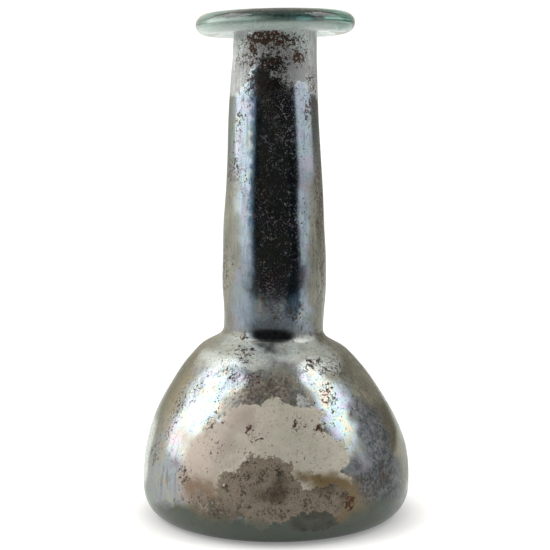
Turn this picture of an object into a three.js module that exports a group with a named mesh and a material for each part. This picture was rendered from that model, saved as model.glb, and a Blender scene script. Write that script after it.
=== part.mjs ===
// Glass perfume flask of the long-necked, squat-bodied kind: one free-blown vessel, hollow and open
// at the mouth. Millimetres, +Z up. The origin is at table height, below the middle of the widest ring.

import * as THREE from 'three';

// Foot: the flat disc that touches the table, rounded up into the wall.
const FOOT_RADIUS = 27.9;

// Outer wall from its widest ring up to the rim, as height and radius.
const WALL_STATIONS = [
  { height: 8.2, radius: 34.3 }, // widest ring, low on the body
  { height: 22.8, radius: 31.75 }, // full flank
  { height: 32.0, radius: 27.0 }, // flank turning in
  { height: 39.5, radius: 21.7 }, // shoulder
  { height: 42.6, radius: 18.6 }, // top of the shoulder
  { height: 45.6, radius: 13.6 }, // foot of the neck
  { height: 47.3, radius: 12.86 },
  { height: 49.5, radius: 12.82 }, // tooled constriction
  { height: 59.3, radius: 13.32 }, // low swelling of the neck
  { height: 84.0, radius: 12.33 },
  { height: 121.2, radius: 10.37 }, // neck under the rim
];

// Wall thickness by height: thick floor, thin body, thicker constriction and neck.
const THICKNESS_STATIONS = [
  { height: 0, thickness: 3.2 },
  { height: 8.2, thickness: 2.4 },
  { height: 24.0, thickness: 1.8 },
  { height: 44.0, thickness: 2.3 },
  { height: 56.0, thickness: 2.3 },
  { height: 121.2, thickness: 2.15 },
];

// Rim: the edge folded outward into a thick round roll, flattened on top.
const RIM_RADIUS = 19.9;
const RIM_TOP = 126.35;
const RIM_THICKNESS = 5.26;
const ROLL_HALF_WIDTH = 3.2;
const UNDERCUT = 1.0; // how far the roll hangs below the hollow beside the neck
const NECK_FILLET = 0.9;
const MOUTH_EDGE_RADIUS = 2.1;

// Small departures from a true turned shape, as the glassblower left them.
const SHOULDER_LEAN_DEG = 1.9; // the shoulder stands higher on the -X side
const RIM_ROLL_DEG = 1.0; // the rim stands higher on the +X side
const RIM_PITCH_DEG = 1.8; // and higher on the +Y side
const LEAN_GROWS = [9, 28]; // heights between which the lean sets in
const LEAN_FADES = [52, 70];
const TIP_GROWS = [108, 120]; // heights between which the rim's tip sets in
const AXIS_DRIFT = [
  { height: 0, shift: -0.2 },
  { height: 9, shift: 0 },
  { height: 35, shift: -0.3 },
  { height: 44, shift: -0.6 },
  { height: 112, shift: -0.6 },
  { height: 121, shift: -0.27 },
];

// Facets
const AROUND = 60;
const STEPS = { foot: 7, flank: 8, shoulder: 10, neck: 7, fillet: 3, hollow: 2, roll: 13, edge: 3 };
const INNER_STEPS = { foot: 5, flank: 6, shoulder: 7, neck: 6 };

const WIDEST = WALL_STATIONS[0];
const NECK_TOP = WALL_STATIONS[WALL_STATIONS.length - 1];
const SHOULDER_FROM = 36;
const SHOULDER_TO = 54;

/** Cubic curve through stations, with parabolic slopes held back where they would overshoot. */
function curveThrough(stations, key) {
  const at = stations.map((station) => station.height);
  const value = stations.map((station) => station[key]);
  const last = at.length - 1;
  const span = at.slice(1).map((height, i) => height - at[i]);
  const chord = span.map((width, i) => (value[i + 1] - value[i]) / width);
  const slope = at.map((height, i) => {
    if (i === 0) return 0;
    if (i === last) return chord[last - 1];
    const [before, after] = [chord[i - 1], chord[i]];
    if (before * after <= 0) return 0;
    const parabolic = (span[i] * before + span[i - 1] * after) / (span[i - 1] + span[i]);
    return Math.sign(before) * Math.min(...[parabolic, 3 * before, 3 * after].map(Math.abs));
  });
  return (height) => {
    const inside = THREE.MathUtils.clamp(height, at[0], at[last]);
    const i = Math.min(at.findLastIndex((low) => low <= inside), last - 1);
    const t = (inside - at[i]) / span[i];
    const eased = value[i] + (value[i + 1] - value[i]) * t * t * (3 - 2 * t);
    return eased + span[i] * t * (1 - t) * (slope[i] * (1 - t) - slope[i + 1] * t);
  };
}

/** Points of a quarter or half ellipse about (r, z), from one angle to another, in degrees. */
function ellipseArc(centre, halfWidth, halfHeight, from, to, steps) {
  return Array.from({ length: steps + 1 }, (_, i) => {
    const angle = THREE.MathUtils.degToRad(from + ((to - from) * i) / steps);
    return new THREE.Vector2(centre.x + halfWidth * Math.cos(angle), centre.y + halfHeight * Math.sin(angle));
  });
}

const wallRadius = curveThrough(WALL_STATIONS, 'radius');
const wallThickness = curveThrough(THICKNESS_STATIONS, 'thickness');
const axisShift = curveThrough(AXIS_DRIFT, 'shift');

/** Heights from low to high in the given number of steps, without the first. */
function climb(low, high, steps) {
  return Array.from({ length: steps }, (_, i) => low + ((high - low) * (i + 1)) / steps);
}

/** Outside of foot, body and neck, from the edge of the foot's flat up to the rim. */
function outerWall(steps) {
  const foot = ellipseArc(
    new THREE.Vector2(FOOT_RADIUS, WIDEST.height),
    WIDEST.radius - FOOT_RADIUS, WIDEST.height, -90, 0, steps.foot,
  );
  const heights = [
    ...climb(WIDEST.height, SHOULDER_FROM, steps.flank),
    ...climb(SHOULDER_FROM, SHOULDER_TO, steps.shoulder),
    ...climb(SHOULDER_TO, NECK_TOP.height, steps.neck),
  ];
  return [...foot, ...heights.map((height) => new THREE.Vector2(wallRadius(height), height))];
}

/** The same wall moved inward by its thickness, square to itself. */
function innerWall(steps) {
  const outer = outerWall(steps);
  return outer.map((point, i) => {
    const before = outer[Math.max(i - 1, 0)];
    const after = outer[Math.min(i + 1, outer.length - 1)];
    const along = i === 0 ? new THREE.Vector2(1, 0) : after.clone().sub(before).normalize();
    const inward = new THREE.Vector2(-along.y, along.x);
    return point.clone().addScaledVector(inward, wallThickness(point.y));
  });
}

/** Rim: fillet off the neck, hollow, round roll, flat top and rounded edge of the mouth. */
function rimOutline(boreRadius) {
  const rollCentre = new THREE.Vector2(RIM_RADIUS - ROLL_HALF_WIDTH, RIM_TOP - RIM_THICKNESS / 2);
  const rollBottom = rollCentre.y - RIM_THICKNESS / 2;
  const hollowTop = rollBottom + UNDERCUT;
  const filletEnd = NECK_TOP.radius + NECK_FILLET;
  const fillet = ellipseArc(
    new THREE.Vector2(filletEnd, NECK_TOP.height),
    NECK_FILLET, hollowTop - NECK_TOP.height, 180, 90, STEPS.fillet,
  );
  const hollow = climb(0, 1, STEPS.hollow).slice(0, -1).map((t) => new THREE.Vector2(
    THREE.MathUtils.lerp(filletEnd, rollCentre.x, 0.25 + 0.5 * t),
    hollowTop - UNDERCUT * THREE.MathUtils.smoothstep(t, 0, 1),
  ));
  const roll = ellipseArc(rollCentre, ROLL_HALF_WIDTH, RIM_THICKNESS / 2, -90, 90, STEPS.roll);
  const edge = ellipseArc(
    new THREE.Vector2(boreRadius + MOUTH_EDGE_RADIUS, RIM_TOP - MOUTH_EDGE_RADIUS),
    MOUTH_EDGE_RADIUS, MOUTH_EDGE_RADIUS, 90, 180, STEPS.edge,
  );
  return [...fillet.slice(1), ...hollow, ...roll, ...edge];
}

/** Closed outline of the vessel, from the middle of the underside round to the middle of the floor. */
function vesselOutline() {
  const inside = innerWall(INNER_STEPS).reverse();
  const bore = inside[0].x;
  return [
    new THREE.Vector2(0, 0),
    ...outerWall(STEPS),
    ...rimOutline(bore),
    ...inside,
    new THREE.Vector2(0, wallThickness(0)),
  ];
}

/** Moves a point of the true turned shape to where the hand-made one has it. */
function settle(point) {
  const { x, y, z } = point;
  const leaning = THREE.MathUtils.smoothstep(z, ...LEAN_GROWS) - THREE.MathUtils.smoothstep(z, ...LEAN_FADES);
  const tipping = THREE.MathUtils.smoothstep(z, ...TIP_GROWS);
  const lean = -x * Math.tan(THREE.MathUtils.degToRad(SHOULDER_LEAN_DEG));
  const roll = x * Math.tan(THREE.MathUtils.degToRad(RIM_ROLL_DEG));
  const pitch = y * Math.tan(THREE.MathUtils.degToRad(RIM_PITCH_DEG));
  return new THREE.Vector3(x + axisShift(z), y, z + leaning * lean + tipping * (roll + pitch));
}

function vesselGeometry() {
  const geometry = new THREE.LatheGeometry(vesselOutline(), AROUND);
  geometry.rotateX(Math.PI / 2);
  const position = geometry.getAttribute('position');
  const point = new THREE.Vector3();
  for (let i = 0; i < position.count; i += 1) {
    point.fromBufferAttribute(position, i);
    const moved = settle(point);
    position.setXYZ(i, moved.x, moved.y, moved.z);
  }
  geometry.computeVertexNormals();
  return geometry;
}

const weatheredGlass = new THREE.MeshStandardMaterial({ color: 0x9aa39c, roughness: 0.25, metalness: 0.5 });

const flask = new THREE.Mesh(vesselGeometry(), weatheredGlass);
flask.name = 'glass_flask';

const group = new THREE.Group();
group.add(flask);

export default group;
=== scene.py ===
"""Ancient blown-glass perfume flask with a silvery weathering film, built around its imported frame."""

import math
from collections import namedtuple

import bpy
import numpy as np
from bpy.props import FloatProperty, FloatVectorProperty, IntProperty, PointerProperty
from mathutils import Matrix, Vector


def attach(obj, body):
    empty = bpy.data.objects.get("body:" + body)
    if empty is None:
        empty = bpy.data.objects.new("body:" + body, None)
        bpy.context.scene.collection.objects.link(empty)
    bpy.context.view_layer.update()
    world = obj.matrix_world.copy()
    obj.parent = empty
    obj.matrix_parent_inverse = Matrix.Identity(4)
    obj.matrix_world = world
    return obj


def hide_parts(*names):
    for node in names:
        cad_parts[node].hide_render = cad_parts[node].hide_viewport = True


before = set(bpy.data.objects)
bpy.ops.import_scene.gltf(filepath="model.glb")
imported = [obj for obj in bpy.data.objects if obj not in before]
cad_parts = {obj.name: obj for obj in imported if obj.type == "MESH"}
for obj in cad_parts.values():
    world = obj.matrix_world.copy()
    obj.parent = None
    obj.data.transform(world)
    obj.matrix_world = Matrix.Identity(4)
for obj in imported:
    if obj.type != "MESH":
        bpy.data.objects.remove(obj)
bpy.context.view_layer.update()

bl_info = {
    "name": "Glass perfume flask",
    "version": (1, 0, 0),
    "blender": (4, 5, 0),
    "location": "View3D > Sidebar > Flask",
    "description": "A weathered blown-glass flask, its stage and its light",
    "category": "Add Mesh",
}

NODE = "glass_flask"
MM = 0.001

# ---------------------------------------------------------------- sizes of the vessel, in millimetres

FOOT_RADIUS = 27.9
WALL = np.array([  # height, outer radius
    (8.2, 34.3), (22.8, 31.75), (32.0, 27.0), (39.5, 21.7), (42.6, 18.6), (45.6, 13.6),
    (47.3, 12.86), (49.5, 12.82), (59.3, 13.32), (84.0, 12.33), (121.2, 10.37)])
THICKNESS = np.array([  # height, wall thickness
    (0.0, 3.2), (8.2, 2.4), (24.0, 1.8), (44.0, 2.3), (56.0, 2.3), (121.2, 2.15)])
DRIFT = np.array([  # height, sideways shift of the axis
    (0.0, -0.2), (9.0, 0.0), (35.0, -0.3), (44.0, -0.6), (112.0, -0.6), (121.0, -0.27)])
RIM_RADIUS = 19.9
RIM_TOP = 126.35
RIM_THICKNESS = 5.26
ROLL_HALF_WIDTH = 3.2
UNDERCUT = 1.0
NECK_FILLET = 0.9
MOUTH_EDGE_RADIUS = 2.1
CRUST_THICKNESS = 0.10
NECK_TOP = WALL[-1, 0]
FLAT_START = 2.0  # where the rings begin on the flat underside and on the floor inside
FLAT_RINGS = 13
FLOOR_RINGS = 9
WAVE_LENGTH = 26.0  # unevenness of the blown wall, which only ever lies inside the true shape
WAVE_HEIGHT = 0.09
WAVE_MEAN = -0.14
WAVE_LIMITS = (-0.3, -0.02)
MARGIN = 0.04  # how far the widest ring stays inside the true shape
LEAN_GROWS = (9, 28)  # heights between which the shoulder's lean sets in
LEAN_FADES = (52, 70)
TIP_GROWS = (108, 120)  # heights between which the rim's tipping sets in

# ---------------------------------------------------------------- curves and fields


def ramp(value, low, high):
    """Smooth step: 0 up to low, 1 from high, and 3t^2 - 2t^3 between."""
    t = np.clip((value - low) / (high - low), 0.0, 1.0)
    return t * t * (3.0 - 2.0 * t)


def band(value, start, full, fade, end):
    """Smooth step up from start to full, and down again from fade to end."""
    return ramp(value, start, full) * ramp(value, end, fade)


def through(stations, at):
    """Cubic Hermite curve through stations, with parabolic slopes held to three times either chord."""
    x, y = stations.T
    span = np.diff(x)
    chord = np.diff(y) / span
    parabola = (span[1:] * chord[:-1] + span[:-1] * chord[1:]) / (span[:-1] + span[1:])
    limit = 3.0 * np.minimum(abs(chord[:-1]), abs(chord[1:]))
    inner = np.where(chord[:-1] * chord[1:] > 0, np.sign(parabola) * np.minimum(abs(parabola), limit), 0.0)
    slope = np.concatenate([[0.0], inner, [chord[-1]]])
    at = np.clip(at, x[0], x[-1])
    i = np.clip(np.searchsorted(x, at, side="right") - 1, 0, len(span) - 1)
    t = (at - x[i]) / span[i]
    eased = y[i] + (y[i + 1] - y[i]) * t * t * (3.0 - 2.0 * t)
    return eased + span[i] * t * (1.0 - t) * (slope[i] * (1.0 - t) - slope[i + 1] * t)


def arc(centre, half_width, half_height, start, end, count=60):
    """Points of an ellipse's arc about a centre, between two angles in degrees."""
    angle = np.radians(np.linspace(start, end, count))
    across = centre[0] + half_width * np.cos(angle)
    return np.column_stack([across, centre[1] + half_height * np.sin(angle)])


def wobble(points, size, seed, octaves=3):
    """Smooth noise near -1 to 1: sines along random directions, each octave half as high and half as long."""
    random = np.random.default_rng(seed)
    total = np.zeros(points.shape[:-1])
    weight = 0.0
    for octave in range(octaves):
        for _ in range(7):
            direction = random.normal(size=3)
            direction *= 2.0 ** octave * random.uniform(0.6, 1.4) / (size * np.linalg.norm(direction))
            phase = random.uniform(0, 2 * math.pi)
            total += 0.5 ** octave * np.sin(2.0 * math.pi * points @ direction + phase)
        weight += 0.25 ** octave * 3.5
    return total / math.sqrt(weight)


def evenly(points, step):
    """The same open line with points at an even distance along it, near the given step."""
    length = np.concatenate([[0.0], np.cumsum(np.hypot(*np.diff(points, axis=0).T))])
    keep = np.concatenate([[True], np.diff(length) > 1e-9])
    at = np.linspace(0.0, length[-1], max(2, int(round(length[-1] / step)) + 1))
    return np.column_stack([np.interp(at, length[keep], points[keep, i]) for i in range(2)])


def outer_line():
    """Radius and height of the outside: a quarter ellipse for the foot, then the wall's curve to the rim."""
    low = WALL[0, 0]
    foot = arc((FOOT_RADIUS, low), WALL[0, 1] - FOOT_RADIUS, low, -90, 0)
    heights = np.linspace(low, NECK_TOP, 900)[1:]
    return np.vstack([foot, np.column_stack([through(WALL, heights), heights])])


def inner_line():
    """The outer line moved inward, square to itself, by the wall's thickness at that height."""
    line = outer_line()
    along = np.gradient(line, axis=0)
    along[0] = (1.0, 0.0)
    along /= np.hypot(*along.T)[:, None]
    inward = np.column_stack([-along[:, 1], along[:, 0]])
    return line + inward * through(THICKNESS, line[:, 1])[:, None]


def rim_line(bore):
    """Fillet off the neck, hollow, round roll, flat top, and the rounded edge of the mouth."""
    centre = (RIM_RADIUS - ROLL_HALF_WIDTH, RIM_TOP - RIM_THICKNESS / 2)
    bottom = centre[1] - RIM_THICKNESS / 2
    ceiling = bottom + UNDERCUT
    fillet_end = WALL[-1, 1] + NECK_FILLET
    fillet = arc((fillet_end, NECK_TOP), NECK_FILLET, ceiling - NECK_TOP, 180, 90, 12)
    t = np.linspace(0.05, 0.95, 30)
    across = fillet_end + (centre[0] - fillet_end) * t
    hollow = np.column_stack([across, ceiling - UNDERCUT * ramp(t, 0.1, 0.85)])
    roll = arc(centre, ROLL_HALF_WIDTH, RIM_THICKNESS / 2, -90, 90)
    edge_at = (bore + MOUTH_EDGE_RADIUS, RIM_TOP - MOUTH_EDGE_RADIUS)
    edge = arc(edge_at, MOUTH_EDGE_RADIUS, MOUTH_EDGE_RADIUS, 90, 180, 20)
    return np.vstack([fillet[1:], hollow, roll, edge])


def settle(x, y, z):
    """Moves points of the true turned shape to the hand-made one: x gains the axis's drift, and the height
    gains -x times the tangent of the shoulder's lean and, at the rim, x and y times those of its tip."""
    size = bpy.context.scene.flask_shape
    leaning = ramp(z, *LEAN_GROWS) - ramp(z, *LEAN_FADES)
    tipping = ramp(z, *TIP_GROWS)
    lift = leaning * -x * math.tan(size.shoulder_lean) + tipping * (
        x * math.tan(size.rim_roll) + y * math.tan(size.rim_pitch))
    return x + through(DRIFT, z), y, z + lift


# ---------------------------------------------------------------- where each finish lies on the outside

# A patch is a rounded oval on the wall: azimuth in degrees from the front (-Y), positive towards +X, height
# in millimetres, half its width and height in millimetres along the wall, and its turn in degrees.
Patch = namedtuple("Patch", "azimuth height wide tall turn", defaults=(0.0,))
ROUNDNESS = 2.6  # power of the oval: 2 is an ellipse, more is squarer
FAR_AWAY = -50.0  # depth where no patch is near
DEPTH_WITHIN = -5.0  # depth of every layer on the inside of the vessel
BARE_HEIGHT = 120.8  # bare glass lies above this height and outside this radius
BARE_RADIUS = 10.9
GREEN_HEIGHT = 8.3  # greenish glass shows below this height

WINDOW = [  # smooth mineral layer where the silvery film is lost
    Patch(0, 26.4, 12.6, 6.7), Patch(-28, 20.5, 8.2, 6.6, 24), Patch(20, 20.5, 5.4, 6.0),
    Patch(-4, 21, 16, 6), Patch(19, 30.4, 3.0, 2.4), Patch(-30, 13.5, 7, 4.2), Patch(10, 13.5, 14, 5),
    Patch(140, 22, 11, 5, 10), Patch(-118, 24, 6, 7, 30)]
MOTTLED = [  # dark deposit seen through the film above the window
    Patch(-14, 34.0, 6.2, 2.2, 22), Patch(-22, 32.0, 3.4, 2.0, 35), Patch(0, 35.8, 4.8, 2.8),
    Patch(14, 33.8, 2.4, 1.4, -20), Patch(-150, 37, 12, 3), Patch(110, 33, 9, 3, -15)]
CRUST = [  # rough earthy deposit
    Patch(-4, 14.2, 8.6, 6.3), Patch(-15, 15.2, 5.4, 3.6, 35), Patch(-12, 20.2, 1.7, 2.0),
    Patch(-4, 9.9, 17.5, 3.5), Patch(21, 10.8, 6.8, 3.3, 10), Patch(-160, 14, 17, 7),
    Patch(170, 30, 8, 5, 20), Patch(-125, 12, 9, 5)]
UMBER = [  # darkest places in the crust
    Patch(18, 14.4, 3.0, 1.8), Patch(-26, 7.4, 4.4, 1.4), Patch(30, 9.6, 2.0, 2.2, -20),
    Patch(-2, 13.4, 3.6, 1.6, 20), Patch(150, 12, 8, 3)]
OCHRE = [  # yellow-brown layer at the crust's edge
    Patch(19, 15.6, 5.8, 1.2, -14), Patch(27, 13.9, 4.4, 1.8, -38), Patch(31, 10.6, 1.6, 2.8),
    Patch(122, 16.5, 6, 1.6, -15)]
RUSSET = [  # red-brown layer beside the crust
    Patch(-33, 11.0, 6, 4.0, -10), Patch(-140, 20, 8, 4)]
MATTE = [  # dull lilac-grey film
    Patch(-70, 115.2, 7.6, 9.2), Patch(0, 117, 11, 4.6), Patch(40, 116, 12, 7),
    Patch(15, 110.6, 2.6, 3.4, 10), Patch(14, 33.4, 1.1, 1.1), Patch(120, 114, 16, 10),
    Patch(-150, 116, 16, 8)]
BLACK = [  # black flaky deposit under the rim
    Patch(-4, 113.2, 3.2, 2.3), Patch(-3, 108.2, 4.6, 1.7), Patch(-15, 110.6, 1.6, 2.0),
    Patch(-25, 110.4, 1.2, 1.4)]
RUST = [  # brown worm-like deposit
    Patch(-14, 119.8, 5.4, 2.0), Patch(-30, 116.6, 1.1, 2.6), Patch(-31, 113.6, 1.5, 0.8),
    Patch(9, 119.5, 2.6, 1.5), Patch(25, 118.8, 1.1, 0.9), Patch(33, 114.9, 1.7, 1.4),
    Patch(-33, 46.2, 1.3, 0.9), Patch(28, 54.6, 1.1, 0.7), Patch(-20, 43.3, 1.4, 0.8, 30),
    Patch(-25, 42.8, 1.1, 0.6, -20), Patch(-25, 37.6, 1.1, 0.6), Patch(-12, 26.9, 0.9, 1.6),
    Patch(-10.5, 24.4, 0.8, 1.0), Patch(-7, 25.4, 1.0, 0.7), Patch(9, 28.8, 0.8, 1.5, -30),
    Patch(-2, 51.4, 0.8, 1.3), Patch(9, 52.4, 1.0, 0.8), Patch(20, 27.4, 1.9, 0.8, 20),
    Patch(30, 9.5, 1.6, 2.0, -25), Patch(63, 26.2, 0.8, 2.6, 15), Patch(26, 41.4, 1.0, 1.2),
    Patch(35, 41.9, 0.9, 0.6), Patch(45, 41.4, 0.7, 0.6), Patch(-40, 15.6, 0.9, 1.2),
    Patch(160, 119, 7, 3), Patch(-110, 117, 5, 3), Patch(-100, 30, 3, 1.4, 30), Patch(180, 42, 4, 1.5)]
GRIME = [  # where small specks gather
    Patch(30, 34, 1.6, 2.4), Patch(46, 30, 2, 4), Patch(-50, 34, 2.4, 3), Patch(-62, 19, 3, 4),
    Patch(42, 14, 4, 2.4), Patch(-70, 60, 3, 12), Patch(66, 60, 3.4, 12), Patch(-56, 47.6, 4, 2),
    Patch(56, 48, 4, 2), Patch(-22, 43, 4, 1.8), Patch(-27, 37.6, 4, 1.4), Patch(31, 40.6, 6, 2.6),
    Patch(47, 40, 3, 3), Patch(-33, 26.5, 1.6, 2), Patch(-58, 27, 3, 8), Patch(-40, 15.6, 2.2, 2.6),
    Patch(50, 14.5, 4, 4), Patch(63, 26, 2, 5), Patch(-7, 36.5, 9, 3.4), Patch(-48, 99, 3, 5),
    Patch(-60, 88, 3, 6), Patch(25, 53, 2.4, 3), Patch(-4, 51, 1.6, 2.6), Patch(0, 117, 12, 5),
    Patch(-33, 108, 3, 4), Patch(60, 106, 4, 8), Patch(70, 80, 4, 14), Patch(10, 28.6, 2.4, 2.2),
    Patch(-150, 40, 10, 5), Patch(120, 90, 9, 20), Patch(-130, 70, 8, 12), Patch(150, 40, 9, 4)]
DUST = [  # dust on the dark neck
    Patch(-1, 106.5, 5.4, 5.5), Patch(-4, 94, 3.6, 14), Patch(150, 80, 9, 20)]
PEARL = [  # pale cloudy film
    Patch(0, 43.9, 14, 1.5), Patch(-11, 41.4, 4.4, 1.8), Patch(-44, 41.4, 7, 2.2, 10),
    Patch(36, 41.6, 6, 1.8), Patch(32, 46.2, 2.6, 1.2), Patch(-82, 16.5, 6.4, 8),
    Patch(150, 42, 14, 2.4)]
OLIVE = [  # dull olive-grey film
    Patch(-72, 66, 6.4, 20), Patch(70, 68, 6.6, 24), Patch(-62, 46.4, 8, 2.6), Patch(60, 46.2, 9, 3.0),
    Patch(-72, 43, 6, 2.4), Patch(36, 38.2, 3.0, 1.8, -30), Patch(62, 38, 8, 7, -30),
    Patch(82, 14, 8, 7), Patch(180, 56, 14, 7), Patch(-140, 100, 8, 9)]
BLUISH = [  # blue-grey film
    Patch(-3, 50.3, 8.0, 1.9, -8), Patch(-30, 60, 1.2, 9), Patch(-100, 60, 5, 12)]
PAINTED_DARK_REFLECTION = [  # painted reflection: near-black film in the constriction, standing in for the dark room in front that it mirrors
    Patch(-2, 46.9, 5.6, 1.7), Patch(130, 47, 6, 1.4)]
NAVY_AND_PAINTED_REFLECTION = [  # blue-black film strips along the neck's dark band, partly painted reflection that widens and lengthens that band
    Patch(-23.5, 86, 1.0, 30), Patch(22, 72, 0.5, 16), Patch(21, 55.5, 1.8, 4.5), Patch(140, 70, 3, 22)]
PAINTED_HIGHLIGHTS = [  # painted highlights: brighter, more pastel mirror film where the lamps' highlights fall
    Patch(33, 29.6, 3.6, 4.6, 20), Patch(-38, 31, 3.4, 5.0, -24), Patch(-160, 32, 5, 5)]
PEACH = [  # warm places in the mineral layer
    Patch(-31, 20, 5.6, 8.6, -28), Patch(-22, 29.6, 5, 3.4), Patch(150, 20, 6, 4)]
SMOKY = [  # grey mottled film
    Patch(50, 13.4, 10, 5.8), Patch(50, 23, 5.6, 8, 6), Patch(34, 19.5, 2.4, 1.8),
    Patch(52, 31, 3.4, 5, 12), Patch(88, 9, 10, 7), Patch(-170, 22, 9, 7), Patch(110, 8, 12, 3)]
DIM = [  # film thinned to dark glass
    Patch(50, 22, 5.4, 15, 4), Patch(44, 36, 3, 5, 30), Patch(46, 12, 6, 5), Patch(64, 10, 8, 6),
    Patch(-28, 39.6, 5, 2.0, 10), Patch(72, 58, 6, 20), Patch(170, 84, 9, 26), Patch(-135, 20, 7, 12)]
CLEAR = [  # dark glass at the foot, its darkness painted shade for the unlit inside seen through it
    Patch(15, 6.1, 5.8, 2.3)]


def field(patches, azimuth, height, radius, rough=(0.0, 0.0)):
    """Depth inside the nearest patch: its lesser half size x (1 - (|u/wide|^n + |v/tall|^n)^(1/n)), where u
    and v are the distances from its middle along its own axes, and n is its roundness."""
    best = np.full(azimuth.shape, FAR_AWAY)
    for patch in patches:
        turn = math.radians(patch.turn)
        away = (azimuth - patch.azimuth + 180.0) % 360.0 - 180.0
        u = np.radians(away) * radius + rough[0]
        v = height - patch.height + rough[1]
        along = abs(u * math.cos(turn) + v * math.sin(turn)) / patch.wide
        across = abs(v * math.cos(turn) - u * math.sin(turn)) / patch.tall
        distance = (along ** ROUNDNESS + across ** ROUNDNESS) ** (1 / ROUNDNESS)
        best = np.maximum(best, (1.0 - distance) * min(patch.wide, patch.tall))
    return best


def finish_fields(azimuth, height, radius, outside, points):
    """Values that the finish reads at each point of the wall, by name: depths in millimetres, which are
    positive within a layer, and masks from 0 to 1. The inside of the vessel has plain values."""
    rough = (0.8 * wobble(points, 9.0, 11), 0.8 * wobble(points, 9.0, 12))
    fine = (0.3 * wobble(points, 2.5, 13), 0.3 * wobble(points, 2.5, 14))
    place = (azimuth, height, radius)
    aside = abs(azimuth)
    neck = ramp(height, 44, 49)
    halo_right = band(azimuth, 10, 18, 46, 60)
    halo_left = 0.6 * band(azimuth, -60, -40, -26, -18)
    clear_right_end = 0.8 * band(azimuth, 36, 62, 110, 150)
    # Painted highlight: a paler streak along the rim's upper left.
    painted_rim_highlight = 0.85 * band(azimuth, -68, -50, -18, 2) * band(height, 122.9, 123.4, 124.0, 124.7)
    pale_left_flank = 0.7 * ramp(-azimuth, 30, 60) * ramp(height, 28, 16)
    depths = {
        "window": field(WINDOW, *place, rough),
        "mottled": field(MOTTLED, *place, rough),
        "crust": field(CRUST, *place, rough),
        "smoky": field(SMOKY, *place, rough),
        "ochre": field(OCHRE, *place, fine),
        "russet": field(RUSSET, *place, fine),
        "matte": field(MATTE, *place, fine),
        "black": np.minimum(field(BLACK, *place, fine), 0.8),
        "rust": np.minimum(field(RUST, *place, fine), 0.6),
        "clear": field(CLEAR, *place, fine),
        "rim": np.minimum(height - BARE_HEIGHT, (radius - BARE_RADIUS) * 2.0),
        "foot": GREEN_HEIGHT + 0.6 * rough[0] - height - 2.6 * ramp(-azimuth, 38, 60),
    }
    masks = {
        "crisp": 0.08 + 0.92 * ramp(azimuth, -30, -20) + ramp(aside, 60, 90),
        "pearl": ramp(field(PEARL, *place, rough), -1.4, 1.2),
        "olive": ramp(field(OLIVE, *place, rough), -2.0, 2.0),
        "bluish": ramp(field(BLUISH, *place, fine), -1.6, 1.2),
        "navy": ramp(field(NAVY_AND_PAINTED_REFLECTION, *place, fine), -1.5, 0.5) ** 2,
        "gleam": ramp(field(PAINTED_HIGHLIGHTS, *place, rough), -1.8, 1.4),
        "umber": ramp(field(UMBER, *place, rough), -1.8, 1.2),
        # Painted reflection: the constriction's dark crescent, where it would mirror the dark room in front.
        "shade": ramp(field(PAINTED_DARK_REFLECTION, *place), -0.35, 0.45),
        "halo": ramp(depths["crust"], -3.0, 0.2) * ramp(height, 19, 14) * np.maximum(halo_right, halo_left),
        "peach": ramp(field(PEACH, *place, rough), -2.6, 2.2),
        "grime": 0.8 * ramp(field(GRIME, *place, rough), -1.5, 2.5) + 0.44 + 0.15 * wobble(points, 14, 15),
        "dust": ramp(field(DUST, *place, rough), -2.0, 3.5),
        "dim": ramp(field(DIM, *place, rough), -2.0, 2.5),
        # Milky rim: real milky weathering, and paler film on the roll's lower half, which faces the bright
        # floor, as painted light; less at the right end.
        "milky": np.maximum(ramp(height, 123.9, 122.2) * (1.0 - clear_right_end), painted_rim_highlight),
        "tan": ramp(aside + 6 * rough[0], 48, 68) * (1.0 - 0.6 * neck) * (
            1.0 - 0.6 * ramp(aside, 85, 130)) * (1.0 - pale_left_flank),
        "neck": neck * (0.3 + 0.7 * ramp(aside, 14, 26)),
    }
    within = {"grime": 0.3, "dust": 0.2, "dim": 0.3, "tan": 0.3, "crisp": 1.0, "neck": 1.0, "olive": 0.4}
    values = {name: np.where(outside, depth, DEPTH_WITHIN) for name, depth in depths.items()}
    for name, mask in masks.items():
        values[name] = np.where(outside, mask, within.get(name, 0.0))
    return values


# ---------------------------------------------------------------- meshes


def mesh_from_grid(name, grid, low_pole, high_pole):
    """Closed mesh from rings of points: quads between rings, round each ring, and a fan at either pole."""
    rings, around = grid.shape[:2]
    ring, step = np.meshgrid(np.arange(rings - 1), np.arange(around), indexing="ij")
    after = (step + 1) % around
    quads = np.stack([ring * around + step, ring * around + after,
                      (ring + 1) * around + after, (ring + 1) * around + step], axis=-1).reshape(-1, 4)
    first = np.arange(around)
    second = (first + 1) % around
    low = rings * around
    last = (rings - 1) * around
    fan_low = np.stack([np.full(around, low), second, first], axis=-1)
    fan_high = np.stack([np.full(around, low + 1), last + first, last + second], axis=-1)
    mesh = bpy.data.meshes.new(name)
    points = np.vstack([grid.reshape(-1, 3), low_pole, high_pole])
    mesh.from_pydata(points, [], np.vstack([fan_low, fan_high]).tolist() + quads.tolist())
    mesh.polygons.foreach_set("use_smooth", np.ones(len(mesh.polygons), dtype=bool))
    mesh.update()
    return mesh


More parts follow.
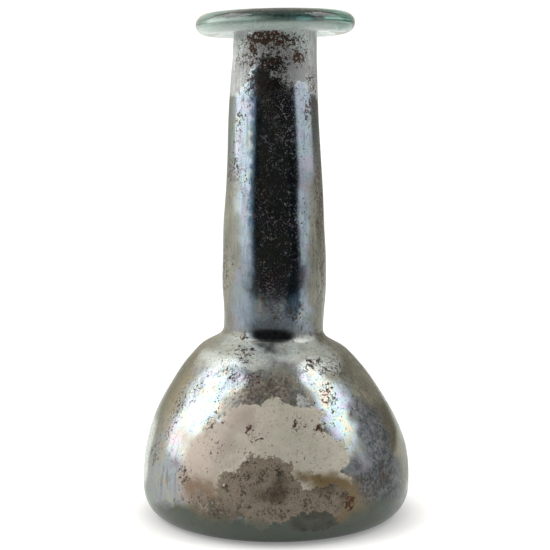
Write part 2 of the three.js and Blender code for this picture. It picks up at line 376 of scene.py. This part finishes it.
def vessel_mesh(size):
    """The whole vessel: its closed outline carried round the axis, then settled and given its unevenness."""
    outer = evenly(outer_line(), size.outer_step / MM)
    inner = evenly(inner_line(), size.inner_step / MM)[::-1]
    rim = evenly(rim_line(inner[0, 0]), size.rim_step / MM)
    flat = np.linspace((FLAT_START, 0.0), (FOOT_RADIUS, 0.0), FLAT_RINGS + 1)[:-1]
    floor = np.linspace(inner[-1], (FLAT_START, inner[-1, 1]), FLOOR_RINGS + 1)[1:]
    line = np.vstack([flat, outer, rim[1:-1], inner, floor])
    outside = np.arange(len(line)) < len(line) - len(inner) - len(floor)
    turn = np.linspace(0.0, 2.0 * math.pi, size.around, endpoint=False)
    azimuth = np.degrees(turn)[None] + 0.0 * line[:, :1]
    azimuth = (azimuth + 180.0) % 360.0 - 180.0
    radius = line[:, :1] + 0.0 * azimuth
    height = line[:, 1:] + 0.0 * azimuth
    turned = np.stack([radius * np.sin(turn), -radius * np.cos(turn), height], axis=-1)
    values = finish_fields(azimuth, height, radius, outside[:, None], turned)
    wave = np.clip(wobble(turned, WAVE_LENGTH, 21, 2) * WAVE_HEIGHT + WAVE_MEAN, *WAVE_LIMITS)
    wave = wave * band(height, 3, 9, 116, 119) * (radius > 5)
    crust = ramp(values["crust"], -0.3, 0.5) * CRUST_THICKNESS
    radius = np.minimum(radius + wave + crust, WALL[0, 1] - MARGIN)
    x, y, z = settle(radius * np.sin(turn), -radius * np.cos(turn), height)
    grid = np.stack([x, y, z], axis=-1) * MM
    low = np.array([through(DRIFT, 0.0), 0.0, 0.0]) * MM
    high = np.array([through(DRIFT, inner[-1, 1]), 0.0, inner[-1, 1]]) * MM
    mesh = mesh_from_grid("glass_flask_wall", grid, low, high)
    for name, value in values.items():
        layer = mesh.attributes.new(name, "FLOAT", "POINT")
        poles = [value[0].mean(), value[-1].mean()]
        layer.data.foreach_set("value", np.concatenate([value.ravel(), poles]).astype(np.float32))
    return mesh


# ---------------------------------------------------------------- shader expressions

WHITE = (1.0, 1.0, 1.0, 1.0)


class Wire:
    """A socket's value in a node tree. Operators on it add the nodes that work them out."""

    def __init__(self, tree, socket):
        self.tree = tree
        self.socket = socket

    def maths(self, operation, *inputs):
        return self.tree.node("ShaderNodeMath", {"operation": operation}, dict(enumerate(inputs)))

    def __add__(self, other):
        return self.maths("ADD", self, other)

    def __sub__(self, other):
        return self.maths("SUBTRACT", self, other)

    def __rsub__(self, other):
        return self.maths("SUBTRACT", other, self)

    def __mul__(self, other):
        return self.maths("MULTIPLY", self, other)

    __radd__ = __add__
    __rmul__ = __mul__

    def over(self, low, high):
        """Smooth step of the value from low to high."""
        return self.tree.node("ShaderNodeMapRange", {"interpolation_type": "SMOOTHSTEP"},
                              {"Value": self, "From Min": low, "From Max": high})

    def size(self):
        return self.maths("ABSOLUTE", self)

    def most(self, other):
        return self.maths("MAXIMUM", self, other)


def set_stops(elements, stops):
    """Gives a colour ramp its stops, from (position, colour) pairs."""
    while len(elements) < len(stops):
        elements.new(0.5)
    for element, (place, colour) in zip(elements, stops):
        element.position = place
        element.color = colour


class Tree:
    """The nodes of a material, a light or the world, emptied and ready to be filled."""

    def __init__(self, owner):
        owner.use_nodes = True
        self.nodes = owner.node_tree.nodes
        self.links = owner.node_tree.links
        self.nodes.clear()

    def node(self, kind, settings=None, sockets=None, out=0):
        """Adds a node with its settings, then its sockets. Gives one output's wire, or the node for None."""
        made = self.nodes.new(kind)
        for name, value in (settings or {}).items():
            if name == "stops":
                set_stops(made.color_ramp.elements, value)
            else:
                setattr(made, name, value)
        for name, value in (sockets or {}).items():
            self.fill(made.inputs[name], value)
        return made if out is None else Wire(self, made.outputs[out])

    def fill(self, socket, value):
        """Links a socket to a wire, or sets its plain value."""
        if isinstance(value, Wire):
            self.links.new(value.socket, socket)
        else:
            socket.default_value = value[:3] if socket.type == "VECTOR" else value

    def mix(self, low, high, factor):
        """Colour mixed from low to high. A Mix node keeps its colour sockets at places 6, 7 and 2."""
        return self.node("ShaderNodeMix", {"data_type": "RGBA"}, {0: factor, 6: low, 7: high}, 2)

    def attribute(self, name):
        return self.node("ShaderNodeAttribute", {"attribute_name": name}, out="Fac")

    def noise(self, vector, scale, detail=3.0, roughness=0.55, distortion=0.0):
        return self.node("ShaderNodeTexNoise", None, {
            "Vector": vector, "Scale": scale, "Detail": detail,
            "Roughness": roughness, "Distortion": distortion})

    def stretched(self, vector, scale):
        return self.node("ShaderNodeMapping", None, {"Vector": vector, "Scale": scale})

    def tint(self, colour, by, amount=None):
        """A colour multiplied by another, which starts from white where an amount is given."""
        if amount is not None:
            by = self.mix(WHITE, by, amount)
        return self.node("ShaderNodeVectorMath", {"operation": "MULTIPLY"}, {0: colour, 1: by})

    def ramp(self, factor, stops):
        """Colour ramp with (position, colour) stops."""
        return self.node("ShaderNodeValToRGB", {"stops": stops}, {0: factor})

    def parts(self, vector):
        """The wires of a vector's x, y and z."""
        made = self.node("ShaderNodeSeparateXYZ", None, {0: vector}, None)
        return [Wire(self, socket) for socket in made.outputs]


def rgb(*values):
    """A display colour from 0 to 255 as the linear one that shaders read."""
    linear = [((v / 255 + 0.055) / 1.055) ** 2.4 if v > 10 else v / 255 / 12.92 for v in values]
    return (*linear, 1.0)


# ---------------------------------------------------------------- finish


# One layer of the finish: where it lies, its colour, how far it mirrors, and how rough it is.
Layer = namedtuple("Layer", "mask colour mirror rough")
PASTELS = [
    (0.30, rgb(255, 214, 226)), (0.40, rgb(228, 222, 255)), (0.48, rgb(205, 240, 255)),
    (0.55, rgb(226, 250, 226)), (0.62, rgb(255, 238, 205)), (0.72, rgb(255, 216, 214))]
EARTHS = [
    (0.20, rgb(42, 36, 30)), (0.32, rgb(78, 67, 53)), (0.44, rgb(106, 97, 82)), (0.56, rgb(126, 118, 104)),
    (0.68, rgb(130, 117, 106)), (0.82, rgb(102, 84, 68))]


def weathered_glass(look):
    """Glass under its weathering: a silvery film, mineral layers where it is lost, specks, and bare glass.

    Each layer lies where its attribute, roughened by noise, passes a smooth step, all in millimetres."""
    material = bpy.data.materials.new("weathered_glass")
    tree = Tree(material)
    place = tree.node("ShaderNodeTexCoord", out="Object")
    point = tree.node("ShaderNodeVectorMath", {"operation": "SCALE"}, {0: place, "Scale": 1.0 / MM})
    upright = tree.stretched(point, (1.0, 1.0, 0.16))

    broad = tree.noise(point, 0.10, 4.0) - 0.5
    middle = tree.noise(point, 0.42, 4.0, 0.6) - 0.5
    small = tree.noise(point, 1.5, 4.0, 0.65) - 0.5
    grain = tree.noise(point, 4.2, 3.0, 0.7) - 0.5
    streak = tree.noise(upright, 1.1, 5.0, 0.65) - 0.5
    read = tree.attribute

    crust = (read("crust") + middle * 2.4 + small * 3.6).over(-0.25, 0.3)
    window = ((read("window") + middle * 1.6 + small * 1.6) * read("crisp")).over(-0.13, 0.13)
    ochre = (read("ochre") + middle * 1.2).over(-1.3, 0.9)
    russet = (read("russet") + middle * 3.0).over(-1.6, 1.8)
    smoky = (read("smoky") + middle * 3.5 + small * 2.0).over(-2.2, 1.6) * 0.9
    mottled = (read("mottled") + middle * 3.0 + small * 2.0).over(-1.6, 1.4)
    black = (read("black") + small * 6.0 + grain * 6.0).over(-0.1, 0.15)
    matte = (read("matte") + small * 3.0 + grain * 2.4).over(-0.15, 0.15) * (1.0 - black)
    edge = read("matte") + small * 1.4
    edge = edge.over(-0.5, -0.1) * (1.0 - edge.over(-0.1, 0.3))
    rim = read("rim").over(-0.1, 0.5)
    strand = 0.4 - (tree.noise(point, 0.8, 3.0, 0.6) - 0.5).size() * 7.0
    rust = (read("rust") * 1.2 + strand + small * 1.6 + grain * 1.0).over(0.34, 0.40) * (1.0 - rim)
    foot = read("foot") + middle * 2.4
    clear = (read("clear") + small * 1.8).over(-0.08, 0.08)
    grime = read("grime")
    speck = (tree.noise(point, 1.15, 5.0, 0.75) + grime * 0.12).over(0.685, 0.695)
    fleck = (tree.noise(point, 3.0, 3.0, 0.65) + grime * 0.10).over(0.69, 0.72)
    specks = speck.most(fleck) * (1.0 - rim * 0.6)
    dusty = read("dust")
    dust = (tree.noise(point, 1.7, 5.0, 0.85) + middle * 0.5 + dusty * 0.10).over(0.62, 0.82) * dusty

    # The film: silver with pastel clouds, darker in streaks, dim over thin glass and tan towards the sides.
    neck = read("neck")
    tan = read("tan")
    pastel = tree.ramp(tree.noise(point, 0.22, 4.0, 0.62, 0.5) - neck * 0.06, PASTELS)
    silver = tree.tint(look.film, pastel, 0.48 - tan * 0.38 - neck * 0.1)
    silver = tree.tint(silver, rgb(222, 238, 248), neck * 0.8)
    # Blue-black strips along the edges of the neck's dark band: partly film colour, partly painted reflection
    # that widens the band.
    silver = tree.tint(silver, rgb(92, 124, 148), read("navy") * 0.9)
    silver = tree.tint(silver, rgb(236, 222, 194), tan * 0.9)
    silver = tree.tint(silver, rgb(128, 124, 120), (streak * 1.8 + broad + 0.1).over(0.0, 0.5) * 0.5)
    silver = tree.tint(silver, rgb(150, 160, 172), read("dim") * (0.8 + middle + small))
    silver = tree.tint(silver, rgb(176, 176, 178), (grain * 1.8 + 0.35).over(0.0, 1.0) * 0.5)

    # Painted highlight: a brighter, more pastel mirror colour for the highlight patches.
    gleam = tree.tint(rgb(186, 186, 188), pastel, 0.85)
    smoke = tree.mix(rgb(70, 62, 54), rgb(162, 154, 140), (small * 2.0 + middle + 0.5).over(0.1, 0.9))
    haze_light = (middle * 1.8 + small * 2.2 + grain * 0.8 + 0.45).over(0.1, 0.9)
    haze = tree.mix(rgb(34, 38, 42), rgb(106, 108, 110), haze_light)
    olive = tree.mix(rgb(76, 75, 60), rgb(138, 136, 120), broad * 1.6 + streak * 2.0 + small + 0.5)
    blue_grey = tree.mix(rgb(108, 118, 134), rgb(140, 156, 164), middle * 2.0 + 0.5)
    greenish = tree.mix(rgb(50, 60, 54), rgb(76, 85, 76), middle * 1.6 + small + 0.5)
    lilac_light = (streak * 1.2 + broad * 1.6 + 0.5).over(0.25, 0.75)
    lilac = tree.mix(rgb(146, 146, 147), rgb(184, 190, 188), lilac_light)
    mineral_stain = (middle * 1.2 + small * 1.2 + grain * 0.8 + 0.3).over(0.0, 1.0) * 0.6
    mineral = tree.mix(look.mineral, rgb(176, 175, 160), broad * 2.4 + 0.5)
    mineral = tree.mix(mineral, rgb(150, 142, 126), mineral_stain)
    earth = tree.ramp(middle * 1.3 + small * 1.3 + grain * 1.4 + 0.51, EARTHS)
    glass_with_painted_shade = tree.mix(rgb(42, 43, 38), rgb(76, 77, 68), middle * 2.0 + 0.5)
    dust_colour = tree.mix(rgb(46, 39, 32), rgb(96, 86, 72), small * 2.4 + 0.45)
    brown = tree.mix(rgb(30, 21, 15), rgb(116, 70, 38), (grain * 1.8 + small * 1.4 + 0.42).over(0.3, 0.8))
    layers = [  # from the lowest to the topmost
        # Painted highlights, placed where the lamps' highlights fall.
        Layer(read("gleam") * (0.8 + middle), gleam, 1.0, 0.22),
        Layer(mottled * 0.85, smoke, 0.45, 0.28),
        Layer(smoky, haze, 0.4, 0.3),
        Layer(read("olive") * (0.85 + small + streak), olive, 0.3, 0.34),
        Layer(read("bluish") * (0.7 + small * 1.4), blue_grey, 0.6, 0.24),
        Layer(read("pearl") * (0.85 + small), rgb(184, 190, 186), 0.3, 0.3),
        # Painted reflection: near-black film in the constriction for the dark room in front.
        Layer(read("shade") * (0.95 + small * 0.3), rgb(16, 21, 26), 0.6, 0.2),
        Layer(foot.over(-1.8, 1.2), greenish, 0.08, 0.16),
        Layer(matte, lilac, 0.14, 0.38),
        Layer(edge * 0.4, rgb(196, 204, 202), 0.5, 0.3),
        Layer(window, mineral, 0.09, 0.28),
        Layer(read("peach") * window * 0.7, rgb(158, 144, 134), 0.2, 0.25),
        Layer(read("halo") * (0.8 + middle), rgb(112, 94, 66), 0.12, 0.3),
        Layer(russet * window * 0.9, rgb(116, 95, 76), 0.1, 0.3),
        Layer(ochre, rgb(108, 92, 64), 0.1, 0.3),
        Layer(crust, earth, 0.0, 0.55),
        Layer(read("umber") * (0.7 + small * 2.4) * crust, rgb(58, 49, 38), 0.0, 0.5),
        Layer(foot.over(0.6, 3.2) * 0.75, rgb(74, 80, 72), 0.12, 0.3),
        # Dark green glass colour whose darkness is painted shade for the unlit inside seen through it.
        Layer(clear, glass_with_painted_shade, 0.1, 0.14),
        Layer(black, rgb(20, 18, 16), 0.1, 0.35),
        Layer(dust, dust_colour, 0.1, 0.5),
        Layer(rim, rgb(184, 199, 192), 0.05, 0.12),
        Layer(rust, brown, 0.0, 0.6),
        Layer(specks, rgb(52, 35, 24), 0.0, 0.5),
    ]
    colour = silver
    mirror = 1.0
    rough = 0.16 + small * 0.1
    for layer in layers:
        colour = tree.mix(colour, layer.colour, layer.mask)
        mirror = mirror + layer.mask * (layer.mirror - mirror)
        rough = rough + layer.mask * (layer.rough - rough)

    relief = small * 0.2 + grain * 0.2 + streak * 0.15 + crust * (0.5 + grain * 1.6 + small)
    relief = relief + window * 0.3 + rust * 0.5 - specks * 0.4
    bump = tree.node("ShaderNodeBump", None, {"Height": relief, "Strength": 0.4, "Distance": 0.12 * MM})
    film = tree.node("ShaderNodeBsdfPrincipled", None, {
        "Base Color": colour, "Metallic": mirror, "Roughness": rough, "Normal": bump, "IOR": 1.4,
        "Specular Tint": (0.62, 0.66, 0.64, 1.0)})
    glass = tree.node("ShaderNodeBsdfPrincipled", None, {
        "Base Color": WHITE, "Roughness": 0.04, "Transmission Weight": 1.0, "IOR": 1.5})
    # Where the rim is milky, pale film replaces the glass: partly real weathering, partly painted light from
    # the floor and a painted highlight.
    bare = rim * (0.96 + small * 0.5 - read("milky") * 0.68) * (1.0 - specks)
    surface = tree.node("ShaderNodeMixShader", None, {0: bare, 1: film, 2: glass})
    absorption = tree.node("ShaderNodeVolumeAbsorption", None, {"Color": look.glass, "Density": look.depth})
    tree.node("ShaderNodeOutputMaterial", None, {"Surface": surface, "Volume": absorption}, out=None)
    return material


# ---------------------------------------------------------------- settings


class FlaskShape(bpy.types.PropertyGroup):
    """Sizes that a user may change."""

    around: IntProperty(name="Around", description="Points round the vessel", default=240, min=24)
    outer_step: FloatProperty(
        name="Outer step", description="Distance between rings outside",
        default=0.58 * MM, unit="LENGTH", precision=5)
    rim_step: FloatProperty(
        name="Rim step", description="Distance between rings on the rim",
        default=0.45 * MM, unit="LENGTH", precision=5)
    inner_step: FloatProperty(
        name="Inner step", description="Distance between rings inside",
        default=1.7 * MM, unit="LENGTH", precision=5)
    shoulder_lean: FloatProperty(
        name="Shoulder lean", description="How far the shoulder rises towards -X",
        default=math.radians(1.9), subtype="ANGLE")
    rim_roll: FloatProperty(
        name="Rim roll", description="How far the rim rises towards +X",
        default=math.radians(1.0), subtype="ANGLE")
    rim_pitch: FloatProperty(
        name="Rim pitch", description="How far the rim rises towards +Y",
        default=math.radians(1.8), subtype="ANGLE")


class FlaskLook(bpy.types.PropertyGroup):
    """Colours that a user may change."""

    film: FloatVectorProperty(
        name="Film", description="Silvery weathering film",
        subtype="COLOR", size=4, default=rgb(162, 162, 162), min=0, max=1)
    mineral: FloatVectorProperty(
        name="Mineral", description="Smooth layer where the film is lost",
        subtype="COLOR", size=4, default=rgb(196, 189, 177), min=0, max=1)
    glass: FloatVectorProperty(
        name="Glass", description="Tint that the bare glass gives to light through it",
        subtype="COLOR", size=4, default=(0.54, 0.80, 0.74, 1.0), min=0, max=1)
    depth: FloatProperty(
        name="Depth of tint", description="How fast the tint deepens in the glass, per metre",
        default=100.0, min=0)


class FlaskStage(bpy.types.PropertyGroup):
    """Floor, light and camera."""

    floor_side: FloatProperty(
        name="Floor to the side", description="How far the floor reaches to either side",
        default=1.5, unit="LENGTH")
    floor_front: FloatProperty(
        name="Floor in front", description="How far the floor reaches towards the camera",
        default=0.17, unit="LENGTH")
    floor_back: FloatProperty(
        name="Floor behind", description="How far the floor reaches behind",
        default=1.6, unit="LENGTH")
    low_left: FloatProperty(
        name="Left light, low", description="Brightness of the left light's foot", default=2.15)
    low_right: FloatProperty(
        name="Right light, low", description="Brightness of the right light's foot", default=1.2)
    high_left: FloatProperty(
        name="Left light, high", description="Brightness of the left light's top", default=4.1)
    high_right: FloatProperty(
        name="Right light, high", description="Brightness of the right light's top", default=4.6)
    lens: FloatProperty(
        name="Lens", description="Focal length of the camera in millimetres", default=81.82)


# ---------------------------------------------------------------- operators


LIGHT_AWAY = 0.75  # metres from the vessel's axis to either light
LIGHT_FOOT = 0.05  # heights of the lights' lower and upper edges, in metres
LIGHT_TOP = 1.5
SHADOW_EDGE = (0.027, 0.043)  # metres from the axis over which the floor's glow sets in, ending the painted shadow
CAMERA_PLACE = (-0.00035, -0.3169, 0.0914)
CAMERA_DIP = 5.53  # degrees below level
WARM = (1.0, 0.95, 0.85, 1.0)


def grey(level):
    return (level, level, level, 1.0)


def add_object(name, data):
    made = bpy.data.objects.new(name, data)
    bpy.context.scene.collection.objects.link(made)
    return made


class FLASK_OT_vessel(bpy.types.Operator):
    """Makes the glass vessel with its weathering"""

    bl_idname = "flask.vessel"
    bl_label = "Glass vessel"

    def execute(self, context):
        vessel = add_object("flask_vessel", vessel_mesh(context.scene.flask_shape))
        vessel.data.materials.append(weathered_glass(context.scene.flask_look))
        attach(vessel, "root")
        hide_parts(NODE)
        return {"FINISHED"}


def softbox(name, azimuth, width, strength):
    """Upright rectangle of light at an azimuth from the front. Its brightness goes evenly from strength[0] at
    one end to strength[1] at the other."""
    light = bpy.data.lights.new(name, "AREA")
    light.shape = "RECTANGLE"
    light.size = width
    light.size_y = LIGHT_TOP - LIGHT_FOOT
    light.energy = math.pi * light.size * light.size_y
    tree = Tree(light)
    along = tree.parts(tree.node("ShaderNodeNewGeometry", out="Parametric"))[1]
    glow = tree.node("ShaderNodeEmission", None, {
        "Strength": along * (strength[1] - strength[0]) + strength[0]})
    tree.node("ShaderNodeOutputLight", None, {"Surface": glow}, out=None)
    lamp = add_object(name, light)
    angle = math.radians(azimuth)
    across, towards = LIGHT_AWAY * math.sin(angle), -LIGHT_AWAY * math.cos(angle)
    lamp.location = (across, towards, (LIGHT_FOOT + LIGHT_TOP) / 2)
    lamp.rotation_euler = Vector((-across, -towards, 0.0)).to_track_quat("-Z", "Y").to_euler()
    lamp.visible_camera = False


def pale_floor(stage):
    """A matt floor that glows a little, and less under the vessel: a painted shadow where its shadow would
    lie.
    """
    side, front, back = stage.floor_side, stage.floor_front, stage.floor_back
    corners = [(-side, -front, 0), (side, -front, 0), (side, back, 0), (-side, back, 0)]
    mesh = bpy.data.meshes.new("pale_floor")
    mesh.from_pydata(corners, [], [(0, 1, 2, 3)])
    material = bpy.data.materials.new("pale_floor")
    tree = Tree(material)
    place = tree.node("ShaderNodeTexCoord", out="Object")
    away = tree.node("ShaderNodeVectorMath", {"operation": "LENGTH"}, {0: place}, "Value")
    # The glow is dimmer near the axis: a painted shadow under the vessel.
    paint = tree.node("ShaderNodeBsdfPrincipled", None, {
        "Base Color": grey(0.55), "Roughness": 1.0, "Specular IOR Level": 0.0,
        "Emission Color": tree.mix(grey(0.3), WHITE, away.over(*SHADOW_EDGE)), "Emission Strength": 0.68})
    tree.node("ShaderNodeOutputMaterial", None, {"Surface": paint}, out=None)
    mesh.materials.append(material)
    add_object("pale_floor", mesh)


def studio_sky():
    """Soft light from all round: brighter behind, to the left and overhead, and white where it is seen."""
    world = bpy.data.worlds.new("studio")
    tree = Tree(world)
    x, y, z = tree.parts(tree.node("ShaderNodeTexCoord", out="Generated"))
    behind = y.over(-0.25, 0.6) * (0.76 - x * 0.58) * (0.85 + z * 0.6)
    overhead = z.over(0.6, 0.98) * 0.52
    far_left = (x * -1.0).over(0.6, 0.95) * 0.35
    path = tree.node("ShaderNodeLightPath", out=None)
    through = Wire(tree, path.outputs["Is Transmission Ray"])
    seen = through.most(Wire(tree, path.outputs["Is Camera Ray"]))
    level = (0.03 + behind + overhead + far_left) * (1.0 - seen) + seen * 1.1 - through * 0.5
    colour = tree.mix(WARM, WHITE, seen)
    glow = tree.node("ShaderNodeBackground", None, {"Color": colour, "Strength": level})
    tree.node("ShaderNodeOutputWorld", None, {"Surface": glow}, out=None)
    return world


class FLASK_OT_stage(bpy.types.Operator):
    """Makes the floor, the soft studio light and the camera"""

    bl_idname = "flask.stage"
    bl_label = "Stage"

    def execute(self, context):
        stage = context.scene.flask_stage
        pale_floor(stage)
        softbox("left_light", -80, 0.92, (stage.low_left, stage.high_left))
        softbox("right_light", 86, 0.75, (stage.low_right, stage.high_right))
        context.scene.world = studio_sky()
        camera = add_object("camera", bpy.data.cameras.new("camera"))
        camera.data.lens = stage.lens
        camera.data.clip_start = 0.01
        camera.location = CAMERA_PLACE
        camera.rotation_euler = (math.radians(90 - CAMERA_DIP), 0.0, 0.0)
        context.scene.camera = camera
        context.scene.view_settings.view_transform = "Standard"
        return {"FINISHED"}


class FLASK_PT_panel(bpy.types.Panel):
    """Lists the flask's settings and the buttons that make it"""

    bl_idname = "FLASK_PT_panel"
    bl_label = "Glass perfume flask"
    bl_space_type = "VIEW_3D"
    bl_region_type = "UI"
    bl_category = "Flask"

    def draw(self, context):
        for group in ("flask_shape", "flask_look", "flask_stage"):
            settings = getattr(context.scene, group)
            box = self.layout.box()
            for name in settings.__annotations__:
                box.prop(settings, name)
        self.layout.operator(FLASK_OT_vessel.bl_idname)
        self.layout.operator(FLASK_OT_stage.bl_idname)


CLASSES = (FlaskShape, FlaskLook, FlaskStage, FLASK_OT_vessel, FLASK_OT_stage, FLASK_PT_panel)


def register():
    for cls in CLASSES:
        bpy.utils.register_class(cls)
    bpy.types.Scene.flask_shape = PointerProperty(type=FlaskShape)
    bpy.types.Scene.flask_look = PointerProperty(type=FlaskLook)
    bpy.types.Scene.flask_stage = PointerProperty(type=FlaskStage)


def unregister():
    for name in ("flask_shape", "flask_look", "flask_stage"):
        delattr(bpy.types.Scene, name)
    for cls in reversed(CLASSES):
        bpy.utils.unregister_class(cls)


def main():
    register()
    bpy.ops.flask.stage()
    bpy.ops.flask.vessel()


if __name__ == "__main__":
    main()
